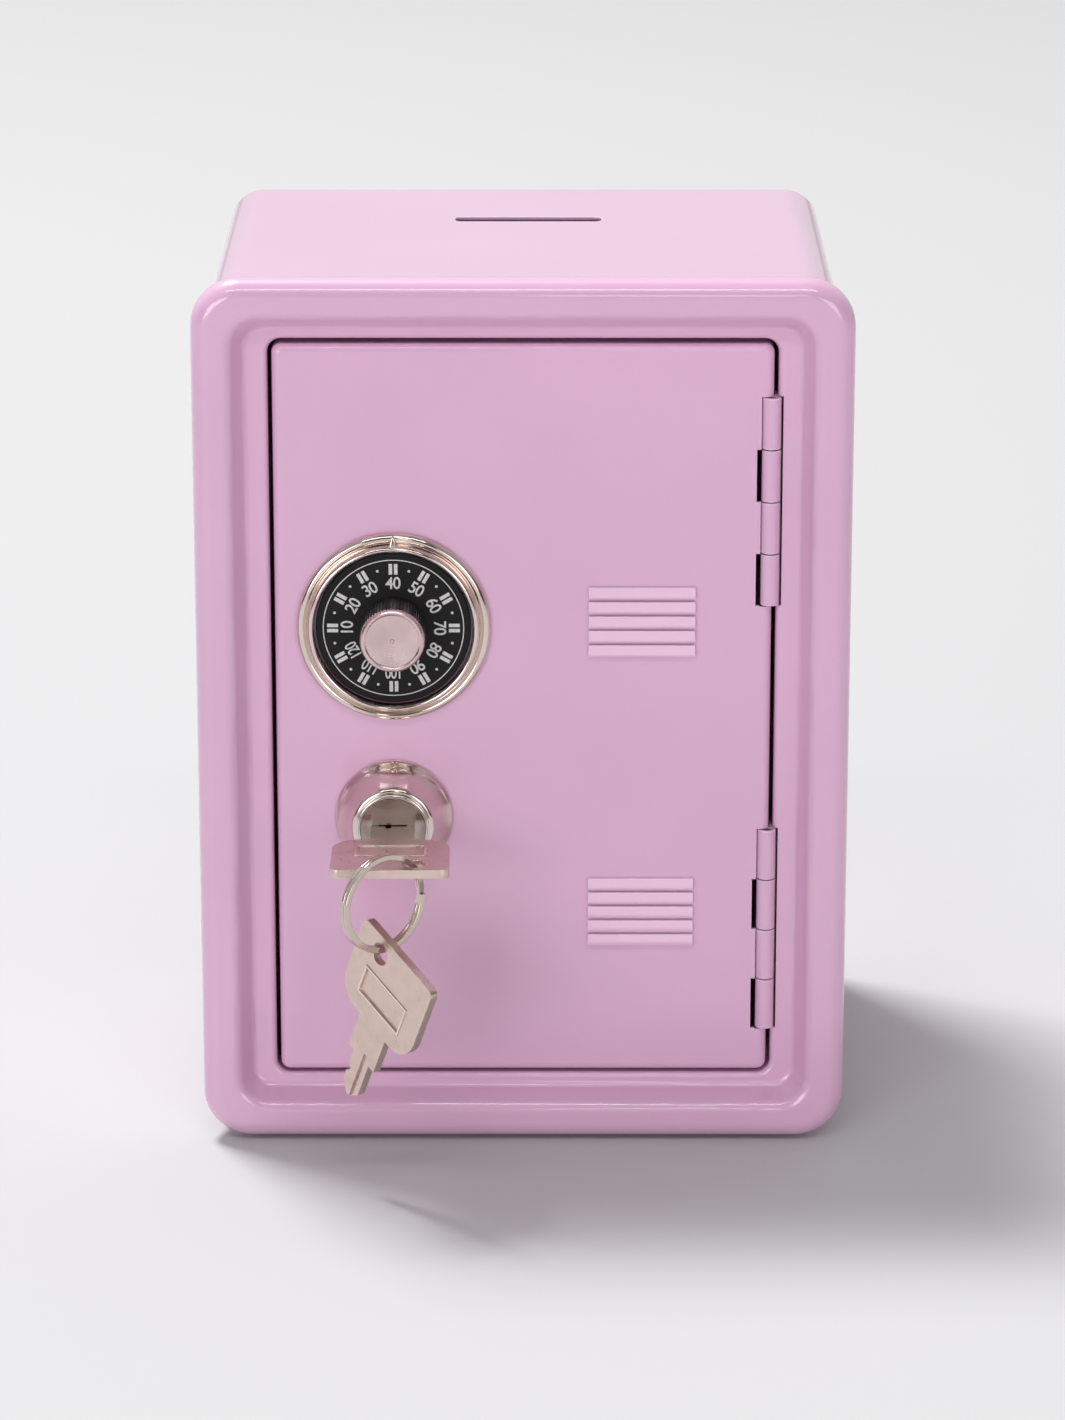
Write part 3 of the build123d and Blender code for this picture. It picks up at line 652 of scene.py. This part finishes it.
# Plated castings mirror the room, a little blurred where the plate lies over the casting's skin.
nickel = bare_metal("nickel plate on die cast zinc", NICKEL, 0.1, 0.2, 5.0, 0.9, 0.1)
# Rounded edges are glossier, and painted lighter as a highlight.
nickel_edge_highlight = bare_metal("nickel plate polished and painted lighter at an edge", "e6dfda", 0.07, 0.12, 5.0, 0.9, 0.05)
lock_middle = middle_of("lock_escutcheon")
cone = turn_piece((lock_middle[0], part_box("lock_escutcheon")[1][1], lock_middle[2]), CONE,
                  CONE_STEPS)
cone.data.materials.append(chrome)
finish_faces(cone, 40)
fit_out(cone, "lock_cone_turned", "door", "chrome_plate", "lock_escutcheon")
soften("lock_housing", nickel, nickel_edge_highlight, 0.3)
soften("lock_plug", nickel, nickel_edge_highlight, 0.15)
soften("lock_nut", bright_zinc, zinc_edge_highlight, 0.4)
soften("lock_cam", bright_zinc, zinc_edge_highlight, 0.2)
soften("cam_washer", bright_zinc, zinc_edge_highlight, 0.1)
soften("cam_screw", bright_zinc, zinc_edge_highlight, 0.2)
# Yellow and unplated, dulled by stamping.
wafer_brass = bare_metal("stamped wafer brass", "c7a15a", 0.22, 0.35, 2.0, 0.4, 0.3)
soften("lock_wafers", wafer_brass, wafer_brass, 0.05)

# ---- Keys ------------------------------------------------------------------------------------
# Two keys stamped from brass strip, coined with a plain framed panel, tumbled and nickel plated.
# Tumbling rounds the edges and polishes them, and leaves fine marks in every direction.

KEY_NICKEL = "dcc8be"
KEY_EDGE_HIGHLIGHT = "ecdcd2"
KEY_MM = 1.7
PANEL_MM = (12.5, 5.6)
PANEL_MIDDLE_MM = 11.47          # panel, behind the bow's outer edge
FRAME_MM = (0.45, 0.16)          # raised frame: width and height
FRAME_ROUND_MM = 0.06
KEY_HOLE_MM = (4.4, 3.6)
HOLE_UNDER_RING_MM = 9.9         # spare key's hole, under the ring's middle
RING_YAW = math.radians(40)
SPARE_HANG = math.radians(26.222)

# A warm soft sheen on the faces; the tumbled edges and the raised frames are glossier and painted
# lighter as a highlight.
key_face = bare_metal("tumbled nickel plated brass", KEY_NICKEL, 0.26, 0.38, 3.0, 0.5, 0.3)
key_edge_highlight = bare_metal("nickel plate burnished and painted lighter at an edge", KEY_EDGE_HIGHLIGHT, 0.08, 0.16, 3.0, 0.5, 0.1)


def key_frame(side):
    """Raised frame round the coined panel on one side of a key, lying flat at the origin."""
    frame_piece = block((0, PANEL_MIDDLE_MM / 1000, side * (KEY_MM + FRAME_MM[1]) / 2000),
                        [length + 2 * FRAME_MM[0] for length in PANEL_MM] + [FRAME_MM[1]])
    pick_only(frame_piece)
    bpy.ops.object.mode_set(mode="EDIT")
    bpy.ops.mesh.select_mode(type="FACE")
    form = bmesh.from_edit_mesh(frame_piece.data)
    for face in form.faces:
        face.select = abs(face.normal.z) > 0.9
    bmesh.update_edit_mesh(frame_piece.data)
    bpy.ops.mesh.inset(thickness=FRAME_MM[0] / 1000)
    bpy.ops.mesh.bridge_edge_loops()
    bpy.ops.mesh.select_mode(type="EDGE")
    select_corners(frame_piece, CORNER_DEGREES)
    bpy.ops.mesh.bevel(offset=FRAME_ROUND_MM / 1000, segments=2, affect="EDGES")
    bpy.ops.object.mode_set(mode="OBJECT")
    # The whole raised frame takes the lighter edge material: a painted highlight.
    frame_piece.data.materials.append(key_edge_highlight)
    return frame_piece


lock_key_place = Matrix.Translation((lock_middle[0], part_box("lock_key")[0][1],
                                     middle_of("lock_key")[2]))
ring_way = Vector((-math.cos(RING_YAW), -math.sin(RING_YAW), 0))
inward = Vector((-math.sin(RING_YAW), math.cos(RING_YAW), 0))
across_key = inward * math.cos(SPARE_HANG) + Vector((0, 0, math.sin(SPARE_HANG)))
spare_turn = Matrix((across_key, ring_way.cross(across_key), ring_way)).transposed().to_4x4()
spare_hole = Vector(middle_of("key_ring")) - Vector((0, 0, HOLE_UNDER_RING_MM / 1000))
spare_key_place = (Matrix.Translation(spare_hole) @ spare_turn
                   @ Matrix.Translation((-KEY_HOLE_MM[0] / 1000, -KEY_HOLE_MM[1] / 1000, 0)))
for node, key_place in (("lock_key", lock_key_place), ("spare_key", spare_key_place)):
    key = soften(node, key_face, key_edge_highlight, 0.22)
    for side in (-1, 1):
        coined = key_frame(side)
        coined.matrix_world = key_place
        place_mesh(coined)
        join(key, coined)
    finish_faces(key)

# ---- Key ring --------------------------------------------------------------------------------
# A split ring coiled twice from flattened spring wire, hardened and nickel plated. The wire
# steps over from one turn to the other, and its two ends are cut square and tumbled smooth.

RING_RADIUS_MM = 8.95
WIRE_MM = (1.2, 0.84)            # across the ring, along its axis
TURN_STEPS = 96
STEP_OVER = 12                   # steps in which the wire crosses to its second turn
RING_GAP_MM = 0.06
WIRE_ROUND_MM = 0.18
ENDS_APART_DEGREES = 6           # short of two full turns

# Bright and nearly smooth, so that the coil reads as thin lines of light.
spring_wire = bare_metal("nickel plated spring wire", "d6c6bd", 0.1, 0.2, 6.0, 0.5, 0.15)
ring_middle = middle_of("key_ring")
bpy.ops.object.select_all(action="DESELECT")
bpy.ops.mesh.primitive_plane_add(size=1, location=(0, 0, 0))
ring = bpy.context.object
bpy.ops.object.mode_set(mode="EDIT")
bpy.ops.mesh.select_all(action="SELECT")
bpy.ops.transform.resize(value=(WIRE_MM[0] / 1000, WIRE_MM[1] / 1000, 1))
bpy.ops.mesh.bevel(offset=WIRE_ROUND_MM / 1000, segments=3, affect="VERTICES")
bpy.ops.mesh.select_all(action="SELECT")
bpy.ops.transform.translate(value=(RING_RADIUS_MM / 1000, 0, 0))
bpy.ops.mesh.delete(type="ONLY_FACE")
bpy.ops.object.mode_set(mode="OBJECT")
corners = len(ring.data.vertices)
coil = ring.modifiers.new("coil", "SCREW")
coil.axis = "Y"
coil.angle = 4 * math.pi - math.radians(ENDS_APART_DEGREES)
coil.steps = coil.render_steps = 2 * TURN_STEPS
coil.use_merge_vertices = False
bpy.ops.object.modifier_apply(modifier=coil.name)
layer = WIRE_MM[1] + RING_GAP_MM
for vertex in ring.data.vertices:
    along = (vertex.index // corners - (TURN_STEPS - STEP_OVER / 2)) / STEP_OVER
    along = min(1.0, max(0.0, along))
    vertex.co.y += (along * along * (3 - 2 * along) - 0.5) * layer / 1000
bpy.ops.object.mode_set(mode="EDIT")
bpy.ops.mesh.select_all(action="DESELECT")
bpy.ops.mesh.select_non_manifold()
bpy.ops.mesh.fill_holes(sides=corners)
bpy.ops.mesh.select_all(action="SELECT")
bpy.ops.mesh.normals_make_consistent(inside=False)
bpy.ops.object.mode_set(mode="OBJECT")
ring.rotation_euler = (0, 0, RING_YAW)
ring.location = ring_middle
place_mesh(ring)
ring.data.materials.append(spring_wire)
finish_faces(ring, 40)
fit_out(ring, "key_ring_coiled", "key_ring", "ring_steel", "key_ring")
